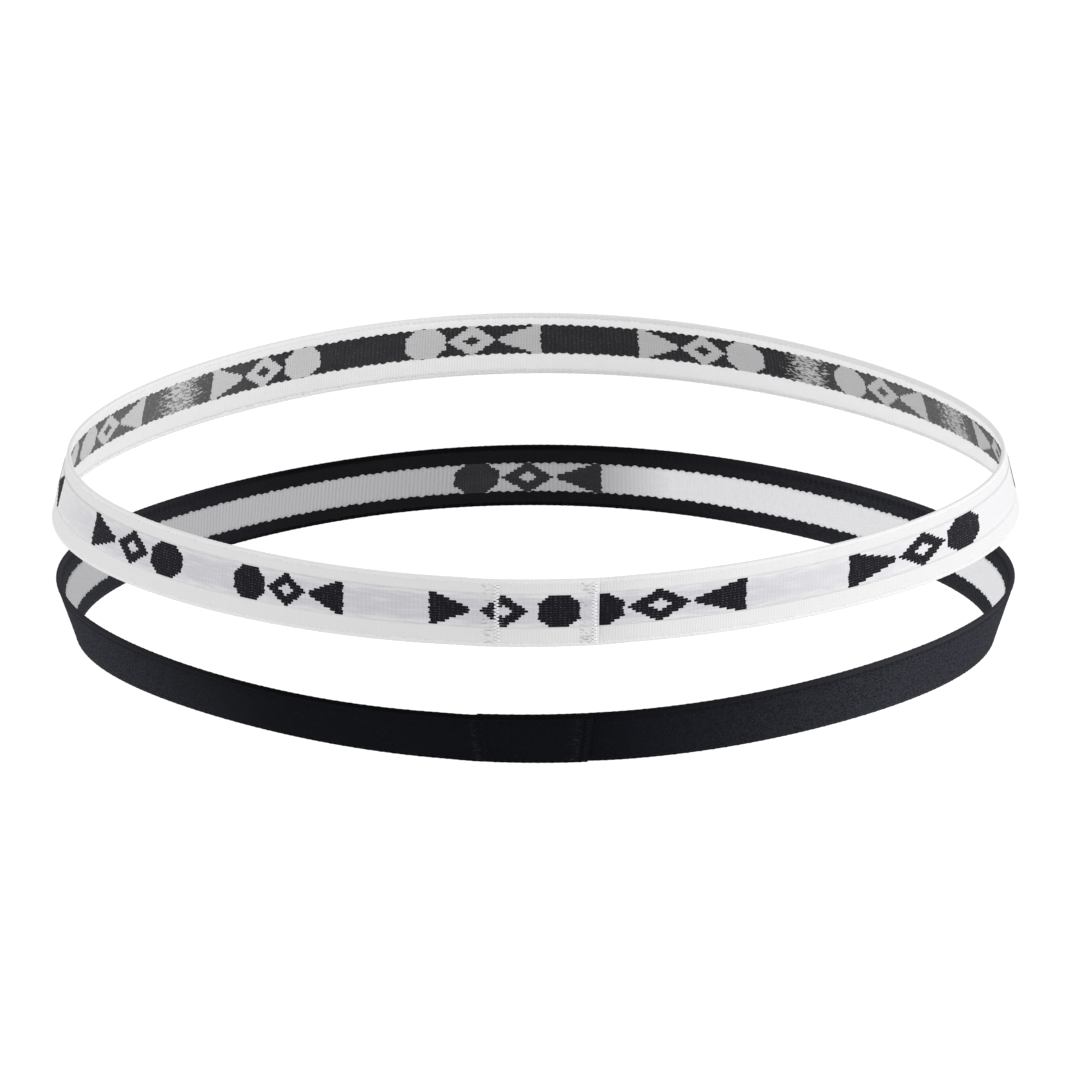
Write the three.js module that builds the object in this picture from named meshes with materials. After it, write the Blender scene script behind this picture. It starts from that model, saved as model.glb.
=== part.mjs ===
// A pair of narrow elastic sports headbands: the white band held above the black one.
// Each band is one length of woven elastic tape, closed into a loop by lapping its two ends at the
// front and sewing them with two rows of stitches.
// Millimetres. -Y is the front, where the ends are sewn; +Z is up. The black band's lower edge is at Z = 0.
import * as THREE from 'three';

// The tape, the same for both bands
const tapeWidth = 11.4;
const faceThickness = 0.2; // one woven face of the double-faced tape
const trackThickness = 0.08; // the pattern yarns' floats, proud of the face
const layerGap = 0.05; // between a face and the pattern track on it
const selvageWidth = 0.95;
const selvageThickness = 0.85;
const selvageChamfer = 0.2;
const selvageGap = 0.05; // between a selvage and the faces beside it

// The rubber threads in the core
const rubberThreadCount = 4;
const rubberThreadSize = 0.2;
const rubberThreadGap = 0.075; // between a rubber thread and each face

// The lap and its stitches
const lapLength = 17.3;
const rampLength = 7; // over which a ply moves out to, or in from, the lap
const plyGap = 0.1;
const seamInset = 0.8; // a row of stitches from the cut end of the ply it holds
const seamEndMargin = 0.7; // from the ends of a row of stitches to the tape's edges
const stitchPitch = 1;
const zigzagWidth = 0.8; // the rows are zigzag stitches
const stitchRise = 0.1; // crown of a stitch over the hole it comes from
const threadDiameter = 0.34;
const threadGap = 0.08; // between a sewing thread and the tape it lies on
const threadSides = 5;

// Steps along a band
const lapSteps = 6;
const rampSteps = 3;
const loopSteps = 60;

// Each band's own sizes. The lean is the tape's angle from upright, in degrees, with its top
// leaning in where it is positive. It and the height vary round the loop as
// even + front * cos(a) + side * sin(a) + front2 * cos(2a) + side2 * sin(2a), with a = 0 at the front.
const heightOfWhite = 27.2; // middle of the white tape above the black band's lower edge
const white = {
  name: 'white',
  centreX: 0,
  halfWidth: 77.6,
  halfDepth: 80,
  squareness: 0.017,
  lean: { even: 8.3, front: -7.3, side: -0.3, front2: -5.3, side2: -4 },
  height: { even: heightOfWhite, front: -0.4, side: 0.4, front2: 0.6, side2: 0.1 },
  lapCentre: 1.1, // degrees round from the front
  standsOnEdge: false,
  trackWidth: 5.4,
  trackRise: 0.7, // middle of the pattern track above the middle of the tape
  trackOutside: true,
};
const black = {
  name: 'black',
  centreX: -0.1, // it lies a little to the left of the white one
  halfWidth: 76.2,
  halfDepth: 75.4,
  squareness: 0.023,
  lean: { even: -14.3, front: -21, side: -0.4, front2: 2.2, side2: 4 },
  lapCentre: -0.1,
  standsOnEdge: true,
  trackWidth: 5.4,
  trackRise: -0.2,
  trackOutside: false,
};

const palette = {
  whiteYarn: { color: 0xf0f0f2, roughness: 0.75, metalness: 0 },
  lavenderYarn: { color: 0xd3d3dc, roughness: 0.8, metalness: 0 },
  charcoalYarn: { color: 0x2b2b2e, roughness: 0.85, metalness: 0 },
  blackYarn: { color: 0x131317, roughness: 0.8, metalness: 0 },
  greyYarn: { color: 0xc6c6cb, roughness: 0.8, metalness: 0 },
  whiteRubber: { color: 0xe6e2d6, roughness: 0.6, metalness: 0 },
  blackRubber: { color: 0x1c1b1b, roughness: 0.6, metalness: 0 },
  whiteThread: { color: 0xf6f6f8, roughness: 0.5, metalness: 0 },
  blackThread: { color: 0x0d0d10, roughness: 0.5, metalness: 0 },
};

// Sizes that follow from these
const coreHeight = rubberThreadSize + 2 * rubberThreadGap; // room between the two faces
const faceOut = coreHeight / 2 + faceThickness; // from the tape's middle to the outside of a face
const trackOut = faceOut + layerGap + trackThickness;
const plyOffset = trackOut + plyGap / 2; // middle of a lapped ply from the band's line
const faceEdge = tapeWidth / 2 - selvageWidth - selvageGap; // from the tape's middle to a face's edge
const threadOut = trackOut + threadGap + threadDiameter / 2; // from the ply's middle to a thread's

function wave(terms, angle) {
  return terms.even + terms.front * Math.cos(angle) + terms.side * Math.sin(angle)
    + terms.front2 * Math.cos(2 * angle) + terms.side2 * Math.sin(2 * angle);
}

function planPoint(band, angle) {
  const reach = 1 + band.squareness * Math.cos(4 * angle);
  return new THREE.Vector2(
    band.centreX + band.halfWidth * reach * Math.sin(angle),
    -band.halfDepth * reach * Math.cos(angle),
  );
}

// The level outward direction at an angle, square to the plan curve.
function outwardAt(band, angle) {
  const step = 1e-4;
  const along = planPoint(band, angle + step).sub(planPoint(band, angle - step)).normalize();
  return new THREE.Vector3(along.y, -along.x, 0);
}

function leanAt(band, angle) {
  return THREE.MathUtils.degToRad(wave(band.lean, angle));
}

// How far a lapped ply of a standing band is raised, so that the ply which leans lower stands on
// the plane and the other one stays square behind it.
function plyLift(band, { angle, shift }) {
  return band.standsOnEdge ? Math.abs(shift * Math.sin(leanAt(band, angle))) : 0;
}

// A point of the tape: across it upwards, and out from its middle, for a ply shifted out by shift.
function tapePoint(band, station, across, out) {
  const { angle, shift } = station;
  const lean = leanAt(band, angle);
  const outward = outwardAt(band, angle);
  const plan = planPoint(band, angle);
  const restHeight = (tapeWidth / 2) * Math.cos(lean) + (selvageThickness / 2) * Math.abs(Math.sin(lean));
  const height = band.standsOnEdge ? restHeight + plyLift(band, station) : wave(band.height, angle);
  const level = (shift + out) * Math.cos(lean) - across * Math.sin(lean);
  const rise = (shift + out) * Math.sin(lean) + across * Math.cos(lean);
  return new THREE.Vector3(plan.x, plan.y, height + rise).addScaledVector(outward, level);
}

function lapAngle(band) {
  return lapLength / 2 / band.halfDepth;
}

// The tape's stations from its inner end, round the loop, to its outer end over the inner one.
function tapeStations(band) {
  const lap = lapAngle(band);
  const ramp = rampLength / band.halfDepth;
  const stations = [];
  const stretch = (from, to, steps, shiftAt) => {
    for (let i = stations.length ? 1 : 0; i <= steps; i += 1) {
      const part = i / steps;
      stations.push({ angle: centre + THREE.MathUtils.lerp(from, to, part), shift: shiftAt(part) });
    }
  };
  const ease = (part) => THREE.MathUtils.smoothstep(part, 0, 1);
  const turn = 2 * Math.PI;
  const centre = THREE.MathUtils.degToRad(band.lapCentre);
  stretch(-lap, lap, lapSteps, () => -plyOffset);
  stretch(lap, lap + ramp, rampSteps, (part) => plyOffset * (ease(part) - 1));
  stretch(lap + ramp, turn - lap - ramp, loopSteps, () => 0);
  stretch(turn - lap - ramp, turn - lap, rampSteps, (part) => plyOffset * ease(part));
  stretch(turn - lap, turn + lap, lapSteps, () => plyOffset);
  return stations;
}

// Runs a section, given as [across, out] pairs, the whole length of the tape and caps its ends.
// Every four-cornered patch is split from its lower corner to its next upper one, whichever way it
// faces, so that layers which lie on each other stay parallel where the tape twists.
function alongTape(band, section, place = tapePoint) {
  const stations = tapeStations(band);
  const sides = section.length;
  const positions = stations.flatMap((station) => (
    section.flatMap(([across, out]) => place(band, station, across, out).toArray())
  ));
  const index = [];
  for (let i = 0; i + 1 < stations.length; i += 1) {
    for (let j = 0; j < sides; j += 1) {
      const next = (j + 1) % sides;
      const a = i * sides + j;
      const b = i * sides + next;
      const c = (i + 1) * sides + next;
      const d = (i + 1) * sides + j;
      if (section[next][0] > section[j][0]) index.push(a, c, b, a, d, c);
      else index.push(a, d, b, b, d, c);
    }
  }
  const last = (stations.length - 1) * sides;
  for (let j = 1; j + 1 < sides; j += 1) {
    index.push(0, j, j + 1, last, last + j + 1, last + j);
  }
  const geometry = new THREE.BufferGeometry();
  geometry.setAttribute('position', new THREE.Float32BufferAttribute(positions, 3));
  geometry.setIndex(index);
  geometry.computeVertexNormals();
  return geometry;
}

function rectangle(low, high, inner, outer) {
  return [[low, inner], [low, outer], [high, outer], [high, inner]];
}

function trackEdges(band) {
  return [band.trackRise - band.trackWidth / 2, band.trackRise + band.trackWidth / 2];
}

// The same section on the other side of the tape, with the same first point.
function flipped(section) {
  const [first, ...others] = section.map(([across, out]) => [across, -out]);
  return [first, ...others.reverse()];
}

// A woven face. It has points under the track's edges and along the middle of the core, so that the
// twisted tape keeps its layers apart.
function face(band, side) {
  const [low, high] = trackEdges(band);
  const near = coreHeight / 2;
  const outer = [
    [0, near], [-faceEdge, near], [-faceEdge, faceOut], [low, faceOut],
    [high, faceOut], [faceEdge, faceOut], [faceEdge, near],
  ];
  return alongTape(band, side > 0 ? outer : flipped(outer));
}

function track(band, side) {
  const [low, high] = trackEdges(band);
  const outer = rectangle(low, high, faceOut + layerGap, trackOut);
  return alongTape(band, side > 0 ? outer : flipped(outer));
}

// A point of a selvage: the edge that the band stands on is pressed flat.
function selvagePoint(band, station, across, out) {
  const point = tapePoint(band, station, across, out);
  const rim = across === -tapeWidth / 2;
  if (band.standsOnEdge && rim) {
    point.z = plyLift(band, station) + station.shift * Math.sin(leanAt(band, station.angle));
  }
  return point;
}

// A selvage bead; side is 1 for the upper edge and -1 for the lower.
function selvage(band, side) {
  const edge = tapeWidth / 2;
  const half = selvageThickness / 2;
  const root = edge - selvageWidth;
  const upper = [
    [root, -half], [root, half], [edge - selvageChamfer, half],
    [edge, half - selvageChamfer], [edge, selvageChamfer - half], [edge - selvageChamfer, -half],
  ];
  const lower = upper.map(([across, out]) => [-across, out]).reverse();
  return alongTape(band, side > 0 ? upper : lower, selvagePoint);
}

function rubberThread(band, index) {
  const pitch = (2 * faceEdge) / rubberThreadCount;
  const middle = (index + 0.5) * pitch - faceEdge;
  const half = rubberThreadSize / 2;
  return alongTape(band, rectangle(middle - half, middle + half, -half, half));
}

// One sewing thread across the lap; end is -1 for the left seam and 1 for the right, and side is
// 1 for the needle thread outside and -1 for the bobbin thread inside.
function seamThread(band, end, side) {
  const row = THREE.MathUtils.degToRad(band.lapCentre) + end * (lapAngle(band) - seamInset / band.halfDepth);
  const zig = zigzagWidth / 2 / band.halfDepth;
  const halfRow = tapeWidth / 2 - seamEndMargin;
  const stitches = Math.round((2 * halfRow) / stitchPitch);
  const points = [];
  for (let i = 0; i <= 2 * stitches; i += 1) {
    const across = -halfRow + (halfRow * i) / stitches;
    const angle = row + [0, zig, 0, -zig][i % 4];
    const out = side * (threadOut + (i % 2) * stitchRise);
    points.push(tapePoint(band, { angle, shift: side * plyOffset }, across, out));
  }
  const outline = new THREE.Shape();
  for (let i = 0; i < threadSides; i += 1) {
    const turn = (2 * Math.PI * i) / threadSides;
    const x = (threadDiameter / 2) * Math.cos(turn);
    const y = (threadDiameter / 2) * Math.sin(turn);
    if (i === 0) outline.moveTo(x, y);
    else outline.lineTo(x, y);
  }
  return new THREE.ExtrudeGeometry(outline, {
    steps: 2 * stitches,
    extrudePath: new THREE.CatmullRomCurve3(points),
  });
}

function bandGroup(band, yarn, outerTrackYarn, innerTrackYarn, rubber, thread) {
  const group = new THREE.Group();
  const add = (name, geometry, finish) => {
    const mesh = new THREE.Mesh(geometry, new THREE.MeshStandardMaterial(finish));
    mesh.name = `${band.name}_${name}`;
    group.add(mesh);
  };
  add('outer_face', face(band, 1), yarn);
  add('inner_face', face(band, -1), yarn);
  if (band.trackOutside) add('outer_track', track(band, 1), outerTrackYarn);
  add('inner_track', track(band, -1), innerTrackYarn);
  add('upper_selvage', selvage(band, 1), yarn);
  add('lower_selvage', selvage(band, -1), yarn);
  for (let i = 0; i < rubberThreadCount; i += 1) {
    add(`rubber_thread_${i + 1}`, rubberThread(band, i), rubber);
  }
  for (const [seam, end] of [['left', -1], ['right', 1]]) {
    add(`${seam}_seam_needle_thread`, seamThread(band, end, 1), thread);
    add(`${seam}_seam_bobbin_thread`, seamThread(band, end, -1), thread);
  }
  return group;
}

const { whiteYarn, lavenderYarn, charcoalYarn, blackYarn, greyYarn } = palette;
const headbands = new THREE.Group();
headbands.add(bandGroup(white, whiteYarn, lavenderYarn, charcoalYarn, palette.whiteRubber, palette.whiteThread));
headbands.add(bandGroup(black, blackYarn, blackYarn, greyYarn, palette.blackRubber, palette.blackThread));

// The origin goes under the middle of the pair, on the plane that the black band stands on.
const box = new THREE.Box3().setFromObject(headbands);
const middle = box.getCenter(new THREE.Vector3());
headbands.position.set(-middle.x, -middle.y, 0);
headbands.updateMatrixWorld(true);

export default headbands;
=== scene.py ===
import math
import bpy
import numpy as np
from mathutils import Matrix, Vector


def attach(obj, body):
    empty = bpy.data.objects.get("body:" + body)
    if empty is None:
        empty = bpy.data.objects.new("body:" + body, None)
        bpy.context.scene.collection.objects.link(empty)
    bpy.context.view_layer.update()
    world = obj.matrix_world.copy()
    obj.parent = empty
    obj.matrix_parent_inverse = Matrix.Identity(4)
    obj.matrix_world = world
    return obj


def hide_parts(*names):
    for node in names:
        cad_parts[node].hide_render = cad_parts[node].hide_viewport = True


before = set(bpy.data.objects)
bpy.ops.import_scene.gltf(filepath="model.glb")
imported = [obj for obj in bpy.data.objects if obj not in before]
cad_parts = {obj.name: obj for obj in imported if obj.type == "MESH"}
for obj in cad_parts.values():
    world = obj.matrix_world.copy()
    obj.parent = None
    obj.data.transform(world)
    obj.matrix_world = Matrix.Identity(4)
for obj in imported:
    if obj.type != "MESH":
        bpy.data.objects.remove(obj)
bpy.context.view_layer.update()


# ---------------------------------------------------------------- the view
# A long lens from two metres off, a little above the bands and level with the gap between them,
# so that both loops keep nearly the same width from front to back.
BANDS_AXIS = Vector((0.00001, 0.00007, 0))  # the upright line through the white loop's middle
VIEW_SIDEWAYS = 0.00066
VIEW_HEIGHT = 0.0161
VIEW_ANGLE = math.radians(16)
VIEW_DISTANCE = 2.0
VIEW_WIDTH = 0.18  # what the frame takes in at the bands' middle
SENSOR = 36

lens = bpy.data.cameras.new("studio_camera")
lens.sensor_width = SENSOR
lens.lens = SENSOR * VIEW_DISTANCE / VIEW_WIDTH
lens.clip_start = 0.1
lens.clip_end = 20
camera = bpy.data.objects.new("studio_camera", lens)
bpy.context.scene.collection.objects.link(camera)
back = Vector((0, -math.cos(VIEW_ANGLE), math.sin(VIEW_ANGLE)))
camera.location = BANDS_AXIS + Vector((VIEW_SIDEWAYS, 0, VIEW_HEIGHT)) + back * VIEW_DISTANCE
camera.rotation_mode = "QUATERNION"
camera.rotation_quaternion = (-back).to_track_quat("-Z", "Y")
bpy.context.scene.camera = camera


# ---------------------------------------------------------------- the studio
# A white sweep far enough below the bands to take no sharp shadow, an even white surround that
# lights them a little less than it shows, and a large soft light on each side, stronger right.
FLOOR_DROP = 0.12
FLOOR_SIZE = 12
SURROUND_LIGHT = 0.85
SOFTBOX_SIZE = 2.4
SOFTBOXES = {  # watts and place
    "key": (74, Vector((3.4, -0.9, 1.1))),
    "fill": (34, Vector((-3.5, -0.4, 1.1))),
}

bpy.context.scene.view_settings.view_transform = "Standard"
bpy.context.scene.view_settings.look = "None"
world = bpy.data.worlds.new("white_surround")
world.use_nodes = True
tree = world.node_tree
lit = tree.nodes["Background"]
lit.inputs["Color"].default_value = (1, 1, 1, 1)
lit.inputs["Strength"].default_value = SURROUND_LIGHT
shown = tree.nodes.new("ShaderNodeBackground")
shown.inputs["Color"].default_value = (1, 1, 1, 1)
ray = tree.nodes.new("ShaderNodeLightPath")
choice = tree.nodes.new("ShaderNodeMixShader")
tree.links.new(ray.outputs["Is Camera Ray"], choice.inputs["Fac"])
tree.links.new(lit.outputs["Background"], choice.inputs[1])
tree.links.new(shown.outputs["Background"], choice.inputs[2])
tree.links.new(choice.outputs["Shader"], tree.nodes["World Output"].inputs["Surface"])
bpy.context.scene.world = world

floor_mesh = bpy.data.meshes.new("studio_floor")
edge = FLOOR_SIZE / 2
floor_mesh.from_pydata(
    [(-edge, -edge, 0), (edge, -edge, 0), (edge, edge, 0), (-edge, edge, 0)], [], [(0, 1, 2, 3)]
)
floor = bpy.data.objects.new("studio_floor", floor_mesh)
floor.location.z = -FLOOR_DROP
paint = bpy.data.materials.new("white_sweep")
paint.use_nodes = True
matt = paint.node_tree.nodes["Principled BSDF"]
matt.inputs["Base Color"].default_value = (1, 1, 1, 1)
matt.inputs["Roughness"].default_value = 1
floor_mesh.materials.append(paint)
bpy.context.scene.collection.objects.link(floor)

for name, (watts, spot) in SOFTBOXES.items():
    lamp = bpy.data.lights.new(name + "_softbox", "AREA")
    lamp.size = SOFTBOX_SIZE
    lamp.energy = watts
    softbox = bpy.data.objects.new(name + "_softbox", lamp)
    softbox.location = spot
    softbox.rotation_mode = "QUATERNION"
    softbox.rotation_quaternion = (-spot).to_track_quat("-Z", "Y")
    bpy.context.scene.collection.objects.link(softbox)


# ---------------------------------------------------------------- the tape's two woven faces
# Each band is one length of double-faced elastic tape, woven from textured polyester over rubber
# threads. Its ends are lapped at the front, the outer end over the inner one, and pressed by the
# seams. The loop leans in or out a little as it stands. Sizes are millimetres until a mesh is made.
TAPE_WIDTH = 11.4
CORE_HALF = 0.175  # from the tape's middle to the inside of a face
FACE_OUT = 0.35  # and to its outside
FACE_REACH = 5.2  # from the tape's middle to a face's edge, tucked into the selvage
PLY_OFFSET = 0.42  # middle of a lapped ply from the band's line
LAP_LENGTH = 17.3
RAMP_LENGTH = 7
SEAM_INSET = 0.8
STAND_HALF = 0.425  # half the thickness of the selvage that the black band stands on
FACE_STEP = 0.3
SEAM_PINCH = 0.09  # how deep the stitches draw the tape in
SEAM_PINCH_REACH = 0.45
FLECKS_BEFORE = 1.5  # the seams' holes show dark flecks this far before each seam
FLECKS_REACH = 1.9
LINE_STEPS = 20000  # of the measured line round each loop
NEXT_ANGLE = 1e-4  # radians on along a line, to find its direction

WHITE = {
    "name": "white",
    "centre_x": 0,
    "half_width": 77.6,
    "half_depth": 80,
    "squareness": 0.017,
    "stands": False,
    "lean": (8.3, -7.3, -0.3, -5.3, -4),
    "height": (27.2, -0.4, 0.4, 0.6, 0.1),
    "lap_centre": 1.1,
    "slip": -0.3,  # the inner ply is sewn on this much low
}
BLACK = {
    "name": "black",
    "centre_x": -0.1,
    "half_width": 76.2,
    "half_depth": 75.4,
    "squareness": 0.023,
    "stands": True,
    "lean": (-14.3, -21, -0.4, 2.2, 4),
    "height": (0, 0, 0, 0, 0),
    "lap_centre": -0.1,
    "slip": -0.75,
}


def wave(terms, angle):
    """An even value and its swings round the loop, once and twice a turn."""
    even, front, side, front2, side2 = terms
    once = front * np.cos(angle) + side * np.sin(angle)
    return even + once + front2 * np.cos(2 * angle) + side2 * np.sin(2 * angle)


def plan(band, angle):
    """The band's line seen from above."""
    reach = 1 + band["squareness"] * np.cos(4 * angle)
    x = band["centre_x"] + band["half_width"] * reach * np.sin(angle)
    return x, -band["half_depth"] * reach * np.cos(angle)


def place(band, angle, shift, across, out):
    """Points of the tape, in metres: across it upwards, and out from the middle of a ply."""
    x, y = plan(band, angle)
    ahead_x, ahead_y = plan(band, angle + NEXT_ANGLE)
    along = np.hypot(ahead_x - x, ahead_y - y)
    outward_x, outward_y = (ahead_y - y) / along, -(ahead_x - x) / along
    lean = np.radians(wave(band["lean"], angle))
    across = across + band["slip"] * np.clip(-shift / PLY_OFFSET, 0, 1)
    dip = shift * np.sin(lean)
    if band["stands"]:
        middle = TAPE_WIDTH / 2 * np.cos(lean) + STAND_HALF * np.abs(np.sin(lean)) + np.abs(dip)
    else:
        middle = wave(band["height"], angle)
    level = (shift + out) * np.cos(lean) - across * np.sin(lean)
    z = middle + dip + out * np.sin(lean) + across * np.cos(lean)
    if band["stands"]:
        z = np.maximum(z, 0)
    x = x + level * outward_x + BANDS_AXIS.x * 1000
    y = y + level * outward_y + BANDS_AXIS.y * 1000
    return np.stack(np.broadcast_arrays(x, y, z), -1) / 1000


def ply_shift(band, angle):
    """How far the ply lies outside the band's line: in at the inner end, out at the outer end."""
    lap = LAP_LENGTH / 2 / band["half_depth"]
    ramp = RAMP_LENGTH / band["half_depth"]
    from_lap = angle - math.radians(band["lap_centre"])
    leaving = np.clip((from_lap - lap) / ramp, 0, 1)
    joining = np.clip((from_lap - (2 * math.pi - lap - ramp)) / ramp, 0, 1)
    ease = [t * t * (3 - 2 * t) for t in (leaving, joining)]
    return PLY_OFFSET * (ease[0] - 1 + ease[1])


for band in (WHITE, BLACK):
    lap = LAP_LENGTH / 2 / band["half_depth"]
    centre = math.radians(band["lap_centre"])
    band["angles"] = np.linspace(centre - lap, centre + 2 * math.pi + lap, LINE_STEPS + 1)
    line = place(band, band["angles"], ply_shift(band, band["angles"]), 0, 0) * 1000
    steps = np.linalg.norm(np.diff(line, axis=0), axis=1)
    band["distances"] = np.concatenate([[0], np.cumsum(steps)])
    band["length"] = band["distances"][-1]
    seam = SEAM_INSET / band["half_depth"]
    seam_angles = [centre + turn + end * (lap - seam) for turn in (0, 2 * math.pi) for end in (-1, 1)]
    band["seams"] = np.interp(seam_angles, band["angles"], band["distances"])


def tape_points(band, distance, across, out):
    """Points at distances along the tape from its inner end."""
    angle = np.interp(distance, band["distances"], band["angles"])
    return place(band, angle, ply_shift(band, angle), across, out)


def woven_piece(name, band, material, points, faces, laid, marks):
    """A finished piece on its band; laid gives each point's place on the tape, in millimetres."""
    mesh = bpy.data.meshes.new(name)
    mesh.vertices.add(len(points))
    mesh.vertices.foreach_set("co", points.astype(np.float32).ravel())
    corners = np.concatenate([f.ravel() for f in faces])
    sides = np.concatenate([np.full(len(f), f.shape[1]) for f in faces])
    starts = np.concatenate([[0], np.cumsum(sides)[:-1]])
    mesh.loops.add(len(corners))
    mesh.loops.foreach_set("vertex_index", corners.astype(np.int32))
    mesh.polygons.add(len(sides))
    mesh.polygons.foreach_set("loop_start", starts.astype(np.int32))
    mesh.polygons.foreach_set("use_smooth", sides == 4)
    mesh.update(calc_edges=True)
    mesh.validate()
    place_on_tape = mesh.attributes.new("laid", "FLOAT_VECTOR", "POINT")
    place_on_tape.data.foreach_set("vector", laid.astype(np.float32).ravel())
    for mark, amount in marks.items():
        spread = mesh.attributes.new(mark, "FLOAT", "POINT")
        spread.data.foreach_set("value", amount.astype(np.float32).ravel())
    mesh.materials.append(material)
    piece = bpy.data.objects.new(name, mesh)
    bpy.context.scene.collection.objects.link(piece)
    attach(piece, band["name"] + "_band")
    return piece


def tube_faces(stations, sides):
    """Faces of a closed skin through stations of the same number of points, with its two ends."""
    row = np.arange(stations - 1)[:, None] * sides
    a = row + np.arange(sides)[None, :]
    b = row + (np.arange(sides)[None, :] + 1) % sides
    skin = np.stack([a, a + sides, b + sides, b], -1).reshape(-1, 4)
    cap = np.arange(sides)[None, :]
    return [skin, cap, cap[:, ::-1] + (stations - 1) * sides]


def layer(name, band, material, step, borders, inner, outer, rows, relief, marks):
    """One woven layer the whole length of the tape: rows with relief on its shown side and a flat
    back. A negative outer is the side that faces into the loop."""
    stations = round(band["length"] / step) + 1
    distance = np.linspace(0, band["length"], stations)[:, None]
    low, high = (np.broadcast_to(border(distance), distance.shape) for border in borders)
    across = low + (high - low) * np.linspace(0, 1, rows + 1)[None, :]
    raised = outer + np.sign(outer) * relief(distance, across)
    across = np.concatenate([across, high, low], 1)
    out = np.concatenate([raised, np.full((stations, 2), inner)], 1)
    if outer > 0:
        across = across[:, ::-1]
        out = out[:, ::-1]
    laid = np.stack(np.broadcast_arrays(distance, across, out), -1)
    return woven_piece(
        name,
        band,
        material,
        tape_points(band, distance, across, out).reshape(-1, 3),
        tube_faces(stations, across.shape[1]),
        laid.reshape(-1, 3),
        {mark: amount(distance, across) + 0 * across for mark, amount in marks.items()},
    )


def add(tree, kind, inputs, **settings):
    """A shader node, its inputs given as values or as the outputs that feed them."""
    made = tree.nodes.new(kind)
    for setting, value in settings.items():
        setattr(made, setting, value)
    for socket, value in inputs.items():
        if isinstance(value, bpy.types.NodeSocket):
            tree.links.new(value, made.inputs[socket])
        else:
            made.inputs[socket].default_value = value
    return made


def sums(tree, operation, *values):
    made = add(tree, "ShaderNodeMath", dict(enumerate(values)), operation=operation)
    return made.outputs["Value"]


def blended(tree, amount, first, second):
    made = add(
        tree, "ShaderNodeMix", {"Factor": amount, "A": first, "B": second}, data_type="RGBA"
    )
    return made.outputs["Result"]


def rows_of(tree, coordinate, pitch):
    """Rounded ridges, 0 in the hollows and 1 on top, one each pitch along the coordinate."""
    turn = sums(tree, "MULTIPLY", coordinate, math.pi / pitch)
    return sums(tree, "ABSOLUTE", sums(tree, "SINE", turn))


def grain(tree, laid, stretch, scale, low, high):
    """Soft noise on the tape, from 0 at low to 1 at high; a stretch over 1 draws it out lengthwise."""
    spread = add(
        tree,
        "ShaderNodeMapping",
        {"Vector": laid, "Scale": (scale / stretch, scale, scale)},
    ).outputs["Vector"]
    noise = add(tree, "ShaderNodeTexNoise", {"Vector": spread, "Scale": 1.0, "Detail": 3.0})
    ramp = add(
        tree,
        "ShaderNodeMapRange",
        {"Value": noise.outputs["Fac"], "From Min": low, "From Max": high},
    )
    return ramp.outputs["Result"]


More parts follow.
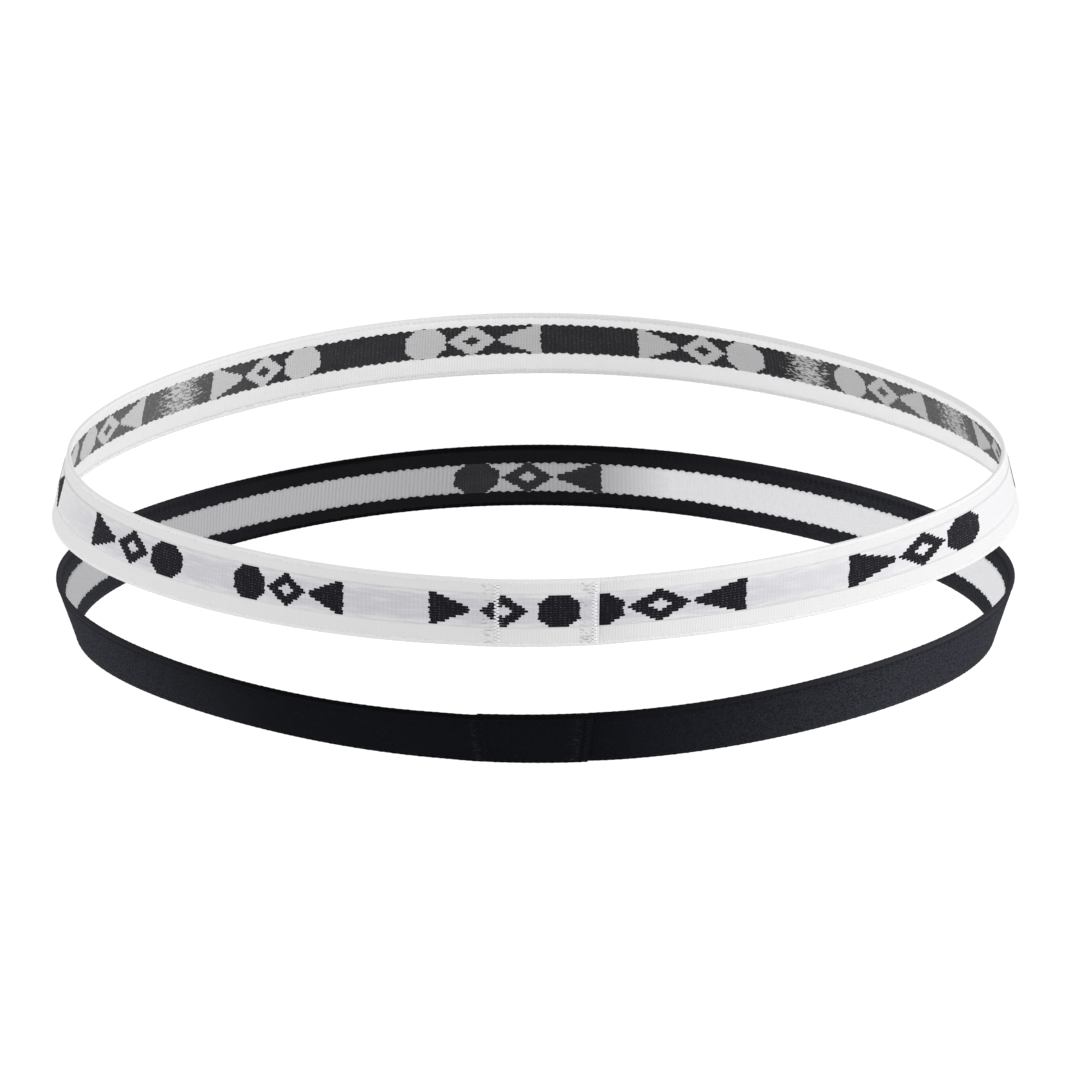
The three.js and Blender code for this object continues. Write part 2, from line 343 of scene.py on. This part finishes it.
def woven(
    name, top, hollow, pick, end, blotch, sheen, through, edge=None, glint=None, painted_light=None, patchy=0.1
):
    """Woven yarn: ridges of the top colour with hollows between picks along the tape and ends
    across it, the hollow colour a painted shade where it is darker than the top, blotches in the dye,
    and the yarns of the other face in specks where they show through. An edge colour fades in towards
    a track's borders, glint tints a few fibres, and a paler colour of painted sheen, or a duller one of
    painted shade, comes in where the tape is marked for it, evenly or in patches."""
    material = bpy.data.materials.new(name)
    material.use_nodes = True
    tree = material.node_tree
    skin = tree.nodes["Principled BSDF"]
    laid = add(tree, "ShaderNodeAttribute", {}, attribute_name="laid").outputs["Vector"]
    axes = add(tree, "ShaderNodeSeparateXYZ", {"Vector": laid})
    wander = grain(tree, laid, 1, 0.9, 0, 1)
    along = sums(tree, "MULTIPLY_ADD", wander, 0.25, axes.outputs["X"])
    picks = rows_of(tree, along, pick)
    pick_number = sums(tree, "ROUND", sums(tree, "DIVIDE", along, pick))
    staggered = sums(tree, "MULTIPLY_ADD", pick_number, end / 2, axes.outputs["Y"])
    ends = rows_of(tree, staggered, end)
    fibres = grain(tree, laid, 3, 9, 0.3, 0.7)
    height = sums(tree, "MULTIPLY_ADD", picks, 0.6, sums(tree, "MULTIPLY", ends, 0.4))
    height = sums(tree, "MULTIPLY_ADD", fibres, 0.35, height)
    # Painted shade: the hollows between the yarns take the hollow colour, where it is the darker one
    colour = blended(tree, sums(tree, "MINIMUM", height, 1), (*hollow, 1), (*top, 1))
    blotches = sums(tree, "MULTIPLY", grain(tree, laid, 2.5, 0.55, 0.35, 0.75), 0.6)
    colour = blended(tree, blotches, colour, (*blotch, 1))
    if glint:
        flecks = sums(tree, "MULTIPLY", grain(tree, laid, 1.5, 4.5, 0.62, 0.72), 0.7)
        colour = blended(tree, flecks, colour, (*glint, 1))
    # Painted light: a paler colour of painted sheen, or a duller one of painted shade, laid where the tape
    # is marked for it
    if painted_light:
        amount = add(tree, "ShaderNodeAttribute", {}, attribute_name="painted_light").outputs["Fac"]
        patches = grain(tree, laid, 1.3, 3.6, 0.35, 0.65)
        mottle = sums(tree, "MULTIPLY_ADD", patches, patchy, 0.75 - patchy / 2)
        colour = blended(tree, sums(tree, "MULTIPLY", amount, mottle), colour, (*painted_light, 1))
    if edge:
        fade = add(tree, "ShaderNodeAttribute", {}, attribute_name="inside").outputs["Fac"]
        streaks = grain(tree, laid, 9, 2.2, 0.3, 0.7)
        cover = sums(tree, "MULTIPLY_ADD", streaks, 0.8, sums(tree, "SUBTRACT", fade, 0.45))
        cover = add(tree, "ShaderNodeClamp", {"Value": cover}).outputs["Result"]
        colour = blended(tree, cover, (*edge, 1), colour)
    shows = add(tree, "ShaderNodeAttribute", {}, attribute_name="show_through").outputs["Fac"]
    speck = sums(tree, "ADD", grain(tree, laid, 3, 3.6, 0.42, 0.92), shows)
    speck = add(
        tree, "ShaderNodeMapRange", {"Value": speck, "From Min": 0.9, "From Max": 1.2}
    ).outputs["Result"]
    colour = blended(tree, speck, colour, (*through, 1))
    tree.links.new(colour, skin.inputs["Base Color"])
    bump = add(tree, "ShaderNodeBump", {"Height": height, "Strength": 0.5, "Distance": 0.00006})
    tree.links.new(bump.outputs["Normal"], skin.inputs["Normal"])
    skin.inputs["Roughness"].default_value = 0.85
    skin.inputs["Specular IOR Level"].default_value = 0.03
    skin.inputs["IOR"].default_value = 1.15
    skin.inputs["Sheen Weight"].default_value = sheen
    skin.inputs["Sheen Roughness"].default_value = 0.45
    return material


PICK_PITCH = 0.5  # along the tape, from one pass of the weft to the next
END_PITCH = 0.42  # across it, from one warp yarn to the next
WHITE_YARN = (0.66, 0.66, 0.665)
WHITE_INSIDE_PAINTED_LIGHTER = (0.82, 0.82, 0.825)  # the same white yarn as outside, painted lighter as painted light on the inner faces
BLACK_YARN = (0.0045, 0.005, 0.007)
white_weave = woven(
    "white_weave",
    top=WHITE_YARN,
    hollow=(0.61, 0.61, 0.62),
    pick=PICK_PITCH,
    end=END_PITCH,
    blotch=(0.63, 0.63, 0.635),
    sheen=0.05,
    through=(0.34, 0.34, 0.35),
)
white_inside_painted_lighter = woven(
    "white_inside_weave",
    top=WHITE_INSIDE_PAINTED_LIGHTER,
    hollow=(0.76, 0.76, 0.77),
    pick=PICK_PITCH,
    end=END_PITCH,
    blotch=(0.79, 0.79, 0.795),
    sheen=0.05,
    through=(0.4, 0.4, 0.41),
    # Painted shade: the white inside is painted duller on the left of the loop
    painted_light=(0.62, 0.62, 0.62),
)
black_weave = woven(
    "black_weave",
    top=BLACK_YARN,
    hollow=(0.002, 0.002, 0.003),
    pick=PICK_PITCH,
    end=END_PITCH,
    blotch=(0.003, 0.004, 0.006),
    sheen=0.015,
    through=(0.014, 0.014, 0.017),
    glint=(0.014, 0.013, 0.024),
    # Painted sheen: the black outer face is painted paler towards both sides of the loop
    painted_light=(0.031, 0.033, 0.042),
    patchy=1.1,
)
# The same black yarn as the outer face, painted lighter as painted light on the inner faces, and painted
# paler towards the sides as painted sheen
black_inside_painted_lighter = woven(
    "black_inside_weave",
    top=(0.01, 0.01, 0.012),
    hollow=(0.004, 0.004, 0.005),
    pick=PICK_PITCH,
    end=END_PITCH,
    blotch=(0.007, 0.007, 0.009),
    sheen=0.015,
    through=(0.03, 0.03, 0.034),
    painted_light=(0.028, 0.029, 0.035),
    patchy=0.8,
)


def pinched(band, distance):
    """How far the stitches draw the tape in."""
    pull = [np.exp(-(((distance - seam) / SEAM_PINCH_REACH) ** 2)) for seam in band["seams"]]
    return -SEAM_PINCH * sum(pull)


def flecked(band, distance):
    """Where the seams' holes let the dark yarns of the other face show, just before each seam."""
    return sum(
        np.exp(-(((distance - seam + FLECKS_BEFORE) / FLECKS_REACH) ** 2)) for seam in band["seams"]
    )


def straight(value):
    return lambda distance: np.full_like(distance, value)


FACE_RIBS = 0.95
FACE_RIB_HEIGHT = 0.012
RIPPLE_HEIGHT = 0.012  # of the slow ripple that no woven elastic is without
FACE_FLECKS = 0.75
GROOVE_ACROSS = 4.6  # the black tape's outer face has a dotted groove below its upper selvage
GROOVE_HALF = 0.28
GROOVE_DEPTH = 0.12
GROOVE_DOTS = 1.3

def angle_at(band, distance):
    return np.degrees(np.interp(distance, band["distances"], band["angles"]))


def groove(distance, across):
    """How deep in its dotted groove a point of the black tape's outer face lies, from 0 to 1."""
    dots = 0.6 + 0.4 * np.cos(2 * np.pi * distance / GROOVE_DOTS)
    return dots * np.exp(-(((across - GROOVE_ACROSS) / GROOVE_HALF) ** 2))


def painted_side_light(band, distance, across):
    """Painted sheen: the black yarn is painted paler towards both sides of the loop, more on the right,
    but not in the groove. Painted shade: the white inside is painted a little duller on the left."""
    turned = np.sin(np.radians(angle_at(band, distance)))
    if band is WHITE:
        return np.clip(-turned / 0.5, 0, 1) + 0 * across
    right = np.clip(turned / 0.8, 0, 1) ** 1.8
    left = np.clip((-turned - 0.55) / 0.45, 0, 1) ** 1.5
    return (right + left) * (1 - 0.9 * groove(distance, across))


for band, sides in ((WHITE, (white_weave, white_inside_painted_lighter)), (BLACK, (black_weave, black_inside_painted_lighter))):

    def relief(distance, across, band=band):
        ribs = FACE_RIB_HEIGHT * np.cos(2 * np.pi * across / FACE_RIBS)
        ripple = np.sin(distance * 1.31 + across) * np.sin(distance * 0.37 - across * 0.8)
        depth = GROOVE_DEPTH * groove(distance, across) * (band is BLACK)
        return ribs + RIPPLE_HEIGHT * ripple + pinched(band, distance) - depth

    # Marks on the faces: dark flecks by the seams, and painted sheen and painted shade by the sides of the
    # loop
    marks = {
        "show_through": lambda distance, across, band=band: FACE_FLECKS * flecked(band, distance),
        "painted_light": lambda distance, across, band=band: painted_side_light(band, distance, across),
    }
    for side, word, rows, material in ((1, "outer", 28, sides[0]), (-1, "inner", 14, sides[1])):
        face = layer(
            f"{band['name']}_{word}_weave",
            band,
            material,
            FACE_STEP,
            (straight(-FACE_REACH), straight(FACE_REACH)),
            side * CORE_HALF,
            side * FACE_OUT,
            rows,
            relief,
            marks,
        )
        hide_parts(f"{band['name']}_{word}_face")


# ---------------------------------------------------------------- the selvages
# The weft turns back round a few close-set ends at both edges of the tape, which makes a firm
# rounded bead with a small bump at every turn of the weft. The black band stands on its lower one.
SELVAGE_MIDDLE = 5.26
SELVAGE_HALF_WIDTH = 0.42
SELVAGE_HALF_THICKNESS = 0.355
SELVAGE_SIDES = 12
SELVAGE_STEP = 0.3
TURN_PITCH = 1.2
TURN_BUMP = 0.03
BEAD_FULLNESS = 0.5  # under 1 the bead's section is squarer than an ellipse


def selvage(band, side, material):
    stations = round(band["length"] / SELVAGE_STEP) + 1
    distance = np.linspace(0, band["length"], stations)[:, None]
    turn = np.linspace(0, 2 * math.pi, SELVAGE_SIDES, endpoint=False)[None, :]
    bump = TURN_BUMP * np.abs(np.sin(np.pi * distance / TURN_PITCH)) ** 3
    bump = bump * (1 + 0.5 * np.sin(distance * 2.7))
    width = np.sign(np.cos(turn)) * np.abs(np.cos(turn)) ** BEAD_FULLNESS
    depth = np.sign(np.sin(turn)) * np.abs(np.sin(turn)) ** BEAD_FULLNESS
    across = side * SELVAGE_MIDDLE + width * (SELVAGE_HALF_WIDTH + bump)
    out = depth * (SELVAGE_HALF_THICKNESS + bump + 0.5 * pinched(band, distance))
    across, out = across[:, ::-1], out[:, ::-1]
    laid = np.stack(np.broadcast_arrays(distance, across, out), -1)
    word = "upper" if side > 0 else "lower"
    piece = woven_piece(
        f"{band['name']}_{word}_selvage_bead",
        band,
        material,
        tape_points(band, distance, across, out).reshape(-1, 3),
        tube_faces(stations, SELVAGE_SIDES),
        laid.reshape(-1, 3),
        # the beads take the same painted sheen and painted shade as the faces
        {"show_through": 0 * across, "painted_light": painted_side_light(band, distance, across)},
    )
    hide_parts(f"{band['name']}_{word}_selvage")


white_edge = woven(
    "white_selvage",
    top=(0.7, 0.7, 0.705),
    hollow=(0.64, 0.64, 0.65),
    pick=0.6,
    end=0.3,
    blotch=(0.67, 0.67, 0.675),
    sheen=0.05,
    through=(0.5, 0.5, 0.5),
)
black_edge = woven(
    "black_selvage",
    top=(0.004, 0.004, 0.005),
    hollow=(0.0015, 0.0015, 0.002),
    pick=0.6,
    end=0.3,
    blotch=(0.003, 0.003, 0.004),
    sheen=0.015,
    through=(0.01, 0.01, 0.01),
    # Painted sheen: the black selvage is painted paler towards the sides of the loop
    painted_light=(0.038, 0.038, 0.045),
)
for band, material in ((WHITE, white_edge), (BLACK, black_edge)):
    selvage(band, 1, material)
    selvage(band, -1, material)


# ---------------------------------------------------------------- the pattern tracks
# Along the middle of a patterned face the jacquard's second yarn floats in fine ribs: a thin
# lavender grey outside the white band, charcoal inside it, and grey inside the black one. On the
# inside the track's borders are toothed, where the floats turn back in steps.
TRACK_STEP = 0.1875
TRACK_RISE = 0.05  # of the floats above the face
TRACK_SUNK = 0.06
RIB_PITCH = 0.75
RIB_HEIGHT = 0.035
TOOTH_PITCH = 1.45
TOOTH_DEPTH = 0.42
TRACK_FADE = 1.1  # width of a border where a track's colour comes and goes
TRACK_FLECKS = 0.6
TRACK_ROWS = 8


def toothed(edge, side):
    """A border at a height across the tape, with teeth out of the track."""

    def border(distance):
        part = distance / TOOTH_PITCH
        tooth = np.abs(np.sin(np.pi * part)) ** 0.8
        uneven = 0.75 + 0.25 * np.sin(2.4 * np.floor(part))
        return edge + side * TOOTH_DEPTH * (tooth * uneven - 0.5)

    return border


def ribbed(band, rib_height):
    def relief(distance, across):
        uneven = 0.8 + 0.2 * np.sin(1.9 * np.floor(distance / RIB_PITCH) + across)
        ribs = rib_height * np.abs(np.sin(np.pi * distance / RIB_PITCH)) * uneven
        return ribs + pinched(band, distance)

    return relief


def track(band, word, side, rise, width, material, rib_height, borders, patches, painted_light_by_angle):
    """Patches are (middle, half width) in degrees round the loop where the other yarns show, and the
    last argument is (degrees, amounts from 0 to 1), how strongly the floats are painted paler between them
    as painted light."""
    low, high = rise - width / 2, rise + width / 2

    def shows(distance, across):
        angle = angle_at(band, distance)
        spots = [np.exp(-(((angle - middle) / reach) ** 2)) for middle, reach in patches]
        return TRACK_FLECKS * flecked(band, distance) + sum(spots)

    def inside(distance, across):
        return np.clip(np.minimum(across - low, high - across) / TRACK_FADE, 0, 1)

    # How strongly the floats are painted paler as painted light, by angle round the loop
    def painted_light(distance, across):
        return np.interp(angle_at(band, distance), *painted_light_by_angle)

    piece = layer(
        f"{band['name']}_{word}_track_floats",
        band,
        material,
        TRACK_STEP,
        (borders(low, -1), borders(high, 1)),
        side * (FACE_OUT - TRACK_SUNK),
        side * (FACE_OUT + TRACK_RISE),
        TRACK_ROWS,
        ribbed(band, rib_height),
        {"show_through": shows, "inside": inside, "painted_light": painted_light},
    )
    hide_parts(f"{band['name']}_{word}_track")


lavender = woven(
    "lavender_floats",
    top=(0.51, 0.51, 0.545),
    hollow=(0.43, 0.43, 0.465),
    pick=RIB_PITCH,
    end=END_PITCH,
    blotch=(0.54, 0.54, 0.57),
    sheen=0.05,
    through=(0.25, 0.25, 0.29),
    edge=WHITE_YARN,
    # Painted sheen: paler towards both sides of the loop
    painted_light=(0.68, 0.68, 0.69),
)
charcoal = woven(
    "charcoal_floats",
    top=(0.023, 0.022, 0.026),
    hollow=(0.05, 0.05, 0.053),
    pick=RIB_PITCH,
    end=END_PITCH,
    blotch=(0.02, 0.02, 0.022),
    sheen=0.12,
    through=(0.45, 0.45, 0.45),
    glint=(0.13, 0.13, 0.135),
    # Painted sheen: paler grey towards both sides of the loop
    painted_light=(0.125, 0.125, 0.125),
    patchy=0.4,
)
grey = woven(
    "grey_floats",
    top=(0.41, 0.41, 0.42),
    hollow=(0.25, 0.25, 0.26),
    pick=RIB_PITCH,
    end=END_PITCH,
    blotch=(0.37, 0.37, 0.38),
    sheen=0.05,
    through=(0.1, 0.1, 0.11),
    # Painted light: much paler on the right back of the black band
    painted_light=(0.86, 0.86, 0.88),
)
OUTER_RISE = 0.45  # of a track's middle above the tape's
INNER_RISE = 0.95
BLACK_RISE = -0.2
OUTER_TRACK_WIDTH = 5.8
INNER_TRACK_WIDTH = 5.4
BLACK_TRACK_WIDTH = 5.3
OUTER_RIB_HEIGHT = 0.01
# Where the tracks are painted paler round the loop, in degrees: painted sheen on both sides for the
# lavender and the charcoal, painted light on the right back for the grey
LAVENDER_PAINTED_SHEEN = ((25, 65, 120, 150, 230, 255, 275, 300), (0, 1, 1, 0, 0, 1, 1, 0))
CHARCOAL_PAINTED_SHEEN = ((20, 60, 125, 145, 215, 235, 300, 340), (0, 1, 1, 0, 0, 1, 1, 0))
CHARCOAL_PATCHES = ((142, 5), (113, 5), (233, 6))
GREY_PAINTED_LIGHT = ((30, 90, 162, 172), (0, 1, 1, 0))

track(
    WHITE,
    "outer",
    1,
    rise=OUTER_RISE,
    width=OUTER_TRACK_WIDTH,
    material=lavender,
    rib_height=OUTER_RIB_HEIGHT,
    borders=lambda edge, side: straight(edge),
    patches=(),
    painted_light_by_angle=LAVENDER_PAINTED_SHEEN,
)
track(
    WHITE,
    "inner",
    -1,
    rise=INNER_RISE,
    width=INNER_TRACK_WIDTH,
    material=charcoal,
    rib_height=RIB_HEIGHT,
    borders=toothed,
    patches=CHARCOAL_PATCHES,
    painted_light_by_angle=CHARCOAL_PAINTED_SHEEN,
)
track(
    BLACK,
    "inner",
    -1,
    rise=BLACK_RISE,
    width=BLACK_TRACK_WIDTH,
    material=grey,
    rib_height=RIB_HEIGHT,
    borders=toothed,
    patches=(),
    painted_light_by_angle=GREY_PAINTED_LIGHT,
)


# ---------------------------------------------------------------- the woven figures
# A plain geometric figure of triangle, hollow lozenge and hexagon is woven into the tracks, every
# other one turned round. Each row of it is one float of yarn, crowned, with its ends a little
# ragged. The white band shows it dark outside and pale inside; the black band has one, inside.
FLOAT_ROW = 0.42
FIGURE_ROWS = 13
FLOAT_CROWN = 0.05
FLOAT_SUNK = 0.05
FLOAT_STEP = 0.7
FLOAT_TAPER = 0.14
FLOAT_TIP = 0.35  # how full a float still is at its tips
FLOAT_HALF = 0.62 * FLOAT_ROW  # over half a row, so that the rows close up
FLOAT_SHOULDER = 0.75 * FLOAT_HALF
FLOAT_SHOULDER_HEIGHT = 0.7
RAGGED = 0.2
THINNEST_HOLE = 0.04
TAPE_END_MARGIN = 0.05


def triangle(y):
    reach = min(1, 1.12 - abs(y) * 0.9)
    return [(-1, -1 + 2 * reach)]


def hollow_lozenge(y):
    outer = 1.16 - abs(y)
    hole = 0.4 - abs(y)
    if hole <= THINNEST_HOLE:
        return [(-outer, outer)]
    return [(-outer, -hole), (hole, outer)]


def hexagon(y):
    reach = min(1, 1.45 - abs(y) * 0.9)
    return [(-reach, reach)]


def figure_floats(turned, pitch, width):
    """The floats of one figure: (start, stop, row) along the tape and across it, in millimetres."""
    way = -1 if turned else 1
    floats = []
    for place_in, shape in ((-1, triangle), (0, hollow_lozenge), (1, hexagon)):
        for row in range(FIGURE_ROWS):
            y = (row - (FIGURE_ROWS - 1) / 2) / ((FIGURE_ROWS - 1) / 2)
            for start, stop in shape(y):
                middle = place_in * pitch
                ends = sorted((way * (middle + start * width / 2), way * (middle + stop * width / 2)))
                floats.append((*ends, y * (FIGURE_ROWS - 1) / 2 * FLOAT_ROW))
    return floats


def figures(name, band, side, rise, lift_off, material, motifs, seed):
    """Motifs are (degrees round the loop, pitch and width of its three shapes, turned)."""
    rng = np.random.default_rng(seed)
    section = np.array([
        (-FLOAT_HALF, 0),
        (-FLOAT_SHOULDER, FLOAT_SHOULDER_HEIGHT),
        (0, 1),
        (FLOAT_SHOULDER, FLOAT_SHOULDER_HEIGHT),
        (FLOAT_HALF, 0),
    ])
    if side > 0:
        section = section[::-1]
    base = FACE_OUT + TRACK_RISE + lift_off - FLOAT_SUNK
    all_points = []
    all_laid = []
    all_faces = []
    count = 0
    for degrees, pitch, width, turned in motifs:
        middle = np.interp(math.radians(degrees), band["angles"], band["distances"])
        for start, stop, row in figure_floats(turned, pitch, width):
            start = middle + (start + rng.uniform(-RAGGED, RAGGED))
            stop = middle + (stop + rng.uniform(-RAGGED, RAGGED))
            stop = min(stop, band["length"] - TAPE_END_MARGIN)
            if stop - start < 3 * FLOAT_TAPER:
                continue
            inner_steps = max(2, math.ceil((stop - start) / FLOAT_STEP))
            distance = np.concatenate([
                [start], np.linspace(start + FLOAT_TAPER, stop - FLOAT_TAPER, inner_steps), [stop]
            ])[:, None]
            full = np.ones_like(distance)
            full[0] = full[-1] = FLOAT_TIP
            lift = FLOAT_SUNK + FLOAT_CROWN * full
            out = side * (base + section[None, :, 1] * lift + pinched(band, distance))
            across = rise + row + section[None, :, 0] * (0.6 + 0.4 * full)
            distance = distance + 0 * across
            points = tape_points(band, distance, across, out)
            all_points.append(points.reshape(-1, 3))
            all_laid.append(np.stack([distance, across, out], -1).reshape(-1, 3))
            faces = tube_faces(len(distance), len(section))
            all_faces.extend(face + count for face in faces)
            count += out.size
    laid = np.concatenate(all_laid)
    quads = np.concatenate([f for f in all_faces if f.shape[1] == 4])
    ends = np.concatenate([f for f in all_faces if f.shape[1] != 4])
    woven_piece(
        name, band, material, np.concatenate(all_points), [quads, ends], laid,
        {"show_through": 0 * laid[:, 0]},
    )


BLACK_MOTIFS = ((181, 9, 7.8, False),)
WHITE_MOTIFS = (
    (14.6, 10.6, 9.4, True),
    (55, 13, 11.4, False),
    (98, 9, 7.8, True),
    (128.7, 8.2, 7.2, False),
    (158, 8.4, 7.4, True),
    (188.2, 8.4, 7.4, False),
    (218, 8.4, 7.4, True),
    (249.5, 8.6, 7.6, False),
    (268, 7.8, 6.8, True),
    (301.5, 9.6, 8.2, False),
    (328.6, 7.6, 6.6, True),
    (356.3, 8.8, 6.8, False),
)
figure_black = woven(
    "charcoal_figures",
    top=(0.012, 0.012, 0.016),
    hollow=(0.004, 0.004, 0.006),
    pick=PICK_PITCH,
    end=FLOAT_ROW,
    blotch=(0.009, 0.009, 0.012),
    sheen=0.1,
    through=(0.3, 0.3, 0.3),
    glint=(0.03, 0.025, 0.05),
)
figure_pale = woven(
    "pale_figures",
    top=(0.5, 0.5, 0.505),
    hollow=(0.34, 0.34, 0.35),
    pick=PICK_PITCH,
    end=FLOAT_ROW,
    blotch=(0.44, 0.44, 0.45),
    sheen=0.05,
    through=(0.2, 0.2, 0.2),
)
figure_grey = woven(
    "dark_grey_figure",
    top=(0.036, 0.036, 0.04),
    hollow=(0.012, 0.012, 0.015),
    pick=PICK_PITCH,
    end=FLOAT_ROW,
    blotch=(0.02, 0.02, 0.024),
    sheen=0.05,
    through=(0.4, 0.4, 0.4),
    glint=(0.09, 0.09, 0.095),
)
figures(
    "white_outer_figures",
    WHITE,
    1,
    rise=OUTER_RISE,
    lift_off=0,
    material=figure_black,
    motifs=WHITE_MOTIFS,
    seed=1,
)
figures(
    "white_inner_figures",
    WHITE,
    -1,
    rise=INNER_RISE,
    lift_off=RIB_HEIGHT,
    material=figure_pale,
    motifs=WHITE_MOTIFS,
    seed=2,
)
figures(
    "black_inner_figure",
    BLACK,
    -1,
    rise=BLACK_RISE,
    lift_off=RIB_HEIGHT,
    material=figure_grey,
    motifs=BLACK_MOTIFS,
    seed=3,
)


# ---------------------------------------------------------------- the rubber threads
# Four rubber threads, each covered in a wrap of fine yarn, run the length of the core between the
# two faces and give the band its stretch. They show only where the tape is cut.
def covered_rubber(name, colour, groove):
    material = bpy.data.materials.new(name)
    material.use_nodes = True
    tree = material.node_tree
    skin = tree.nodes["Principled BSDF"]
    spot = add(tree, "ShaderNodeNewGeometry", {}).outputs["Position"]
    noise = add(tree, "ShaderNodeTexNoise", {"Vector": spot, "Scale": 4000.0, "Detail": 2.0})
    # Painted shade: the low spots of the wrap's grain take the darker groove colour
    tree.links.new(
        blended(tree, noise.outputs["Fac"], (*groove, 1), (*colour, 1)), skin.inputs["Base Color"]
    )
    bump = add(
        tree, "ShaderNodeBump", {"Height": noise.outputs["Fac"], "Strength": 0.3, "Distance": 0.00003}
    )
    tree.links.new(bump.outputs["Normal"], skin.inputs["Normal"])
    skin.inputs["Roughness"].default_value = 0.6
    return material


for name, colour, groove in (
    ("white", (0.78, 0.75, 0.67), (0.6, 0.57, 0.5)),
    ("black", (0.014, 0.013, 0.013), (0.006, 0.006, 0.006)),
):
    rubber = covered_rubber(name + "_rubber", colour, groove)
    for node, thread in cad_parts.items():
        if node.startswith(name + "_rubber_thread"):
            for slot in thread.material_slots:
                slot.material = rubber


# ---------------------------------------------------------------- the seams
# Two close rows of zigzag stitches hold the lap, one by each cut end. The needle thread shows
# outside and the bobbin thread inside, and both dip into the tape at every hole.
STITCH_PITCH = 0.3
ZIGZAG_HALF = 0.55
THREAD_RADIUS = 0.12
THREAD_SIDES = 7
STITCH_STEPS = 7
STITCH_CROWN = 0.1
HOLE_DEPTH = 0.2
SEAM_HALF = 5.15  # half a row's length, across the tape
TWIST_PITCH = 0.3


def sewing_thread(name, colour, groove, sheen):
    """Twisted thread: the plies run round it in fine slanting grooves, painted in the darker groove colour
    as painted shade.
    """
    material = bpy.data.materials.new(name)
    material.use_nodes = True
    tree = material.node_tree
    skin = tree.nodes["Principled BSDF"]
    laid = add(tree, "ShaderNodeAttribute", {}, attribute_name="laid").outputs["Vector"]
    axes = add(tree, "ShaderNodeSeparateXYZ", {"Vector": laid})
    slant = sums(tree, "MULTIPLY_ADD", axes.outputs["Y"], 0.35, axes.outputs["X"])
    plies = rows_of(tree, slant, TWIST_PITCH)
    tree.links.new(blended(tree, plies, (*groove, 1), (*colour, 1)), skin.inputs["Base Color"])
    bump = add(tree, "ShaderNodeBump", {"Height": plies, "Strength": 0.6, "Distance": 0.00004})
    tree.links.new(bump.outputs["Normal"], skin.inputs["Normal"])
    skin.inputs["Roughness"].default_value = 0.5
    skin.inputs["Specular IOR Level"].default_value = 0.1
    skin.inputs["IOR"].default_value = 1.2
    skin.inputs["Sheen Weight"].default_value = sheen
    return material


def seam(band, place_in, word, side, material):
    """One row of stitches; place_in picks the seam on the ply that the thread shows on."""
    stitches = 2 * round(2 * SEAM_HALF / STITCH_PITCH / 2)
    part = np.linspace(0, stitches, stitches * STITCH_STEPS + 1)
    swing = np.abs((part % 2) - 1) * 2 - 1
    crown = np.sin(np.pi * (part % 1)) ** 0.5
    distance = band["seams"][place_in] + ZIGZAG_HALF * swing
    across = -SEAM_HALF + 2 * SEAM_HALF * part / stitches
    out = side * (FACE_OUT - HOLE_DEPTH - SEAM_PINCH + (HOLE_DEPTH + TRACK_RISE + STITCH_CROWN) * crown)
    line = tape_points(band, distance, across, out) * 1000
    ahead = np.gradient(line, axis=0)
    ahead /= np.linalg.norm(ahead, axis=1)[:, None]
    upright = tape_points(band, distance, across, out + 1.0) * 1000 - line
    sideways = np.cross(ahead, upright)
    sideways /= np.linalg.norm(sideways, axis=1)[:, None]
    upright = np.cross(sideways, ahead)
    turn = np.linspace(0, 2 * math.pi, THREAD_SIDES, endpoint=False)
    ring = sideways[:, None] * np.cos(turn)[None, :, None] + upright[:, None] * np.sin(turn)[None, :, None]
    points = (line[:, None] + ring * THREAD_RADIUS) / 1000
    run = np.concatenate([[0], np.cumsum(np.linalg.norm(np.diff(line, axis=0), axis=1))])
    laid = np.stack(np.broadcast_arrays(run[:, None], turn[None, :], out[:, None]), -1)
    ends = "left" if place_in % 2 == 0 else "right"
    name = f"{band['name']}_{ends}_seam_{word}"
    piece = woven_piece(
        name + "_stitches", band, material, points.reshape(-1, 3),
        tube_faces(len(part), THREAD_SIDES), laid.reshape(-1, 3), {},
    )
    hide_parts(name + "_thread")


white_thread = sewing_thread(
    "white_sewing_thread", colour=(0.86, 0.86, 0.87), groove=(0.68, 0.68, 0.7), sheen=0.1
)
black_thread = sewing_thread(
    "black_sewing_thread", colour=(0.006, 0.006, 0.008), groove=(0.003, 0.003, 0.004), sheen=0.01
)
for band, material in ((WHITE, white_thread), (BLACK, black_thread)):
    for inner_ply, outer_ply in ((0, 2), (1, 3)):
        seam(band, outer_ply, "needle", 1, material)
        seam(band, inner_ply, "bobbin", -1, material)
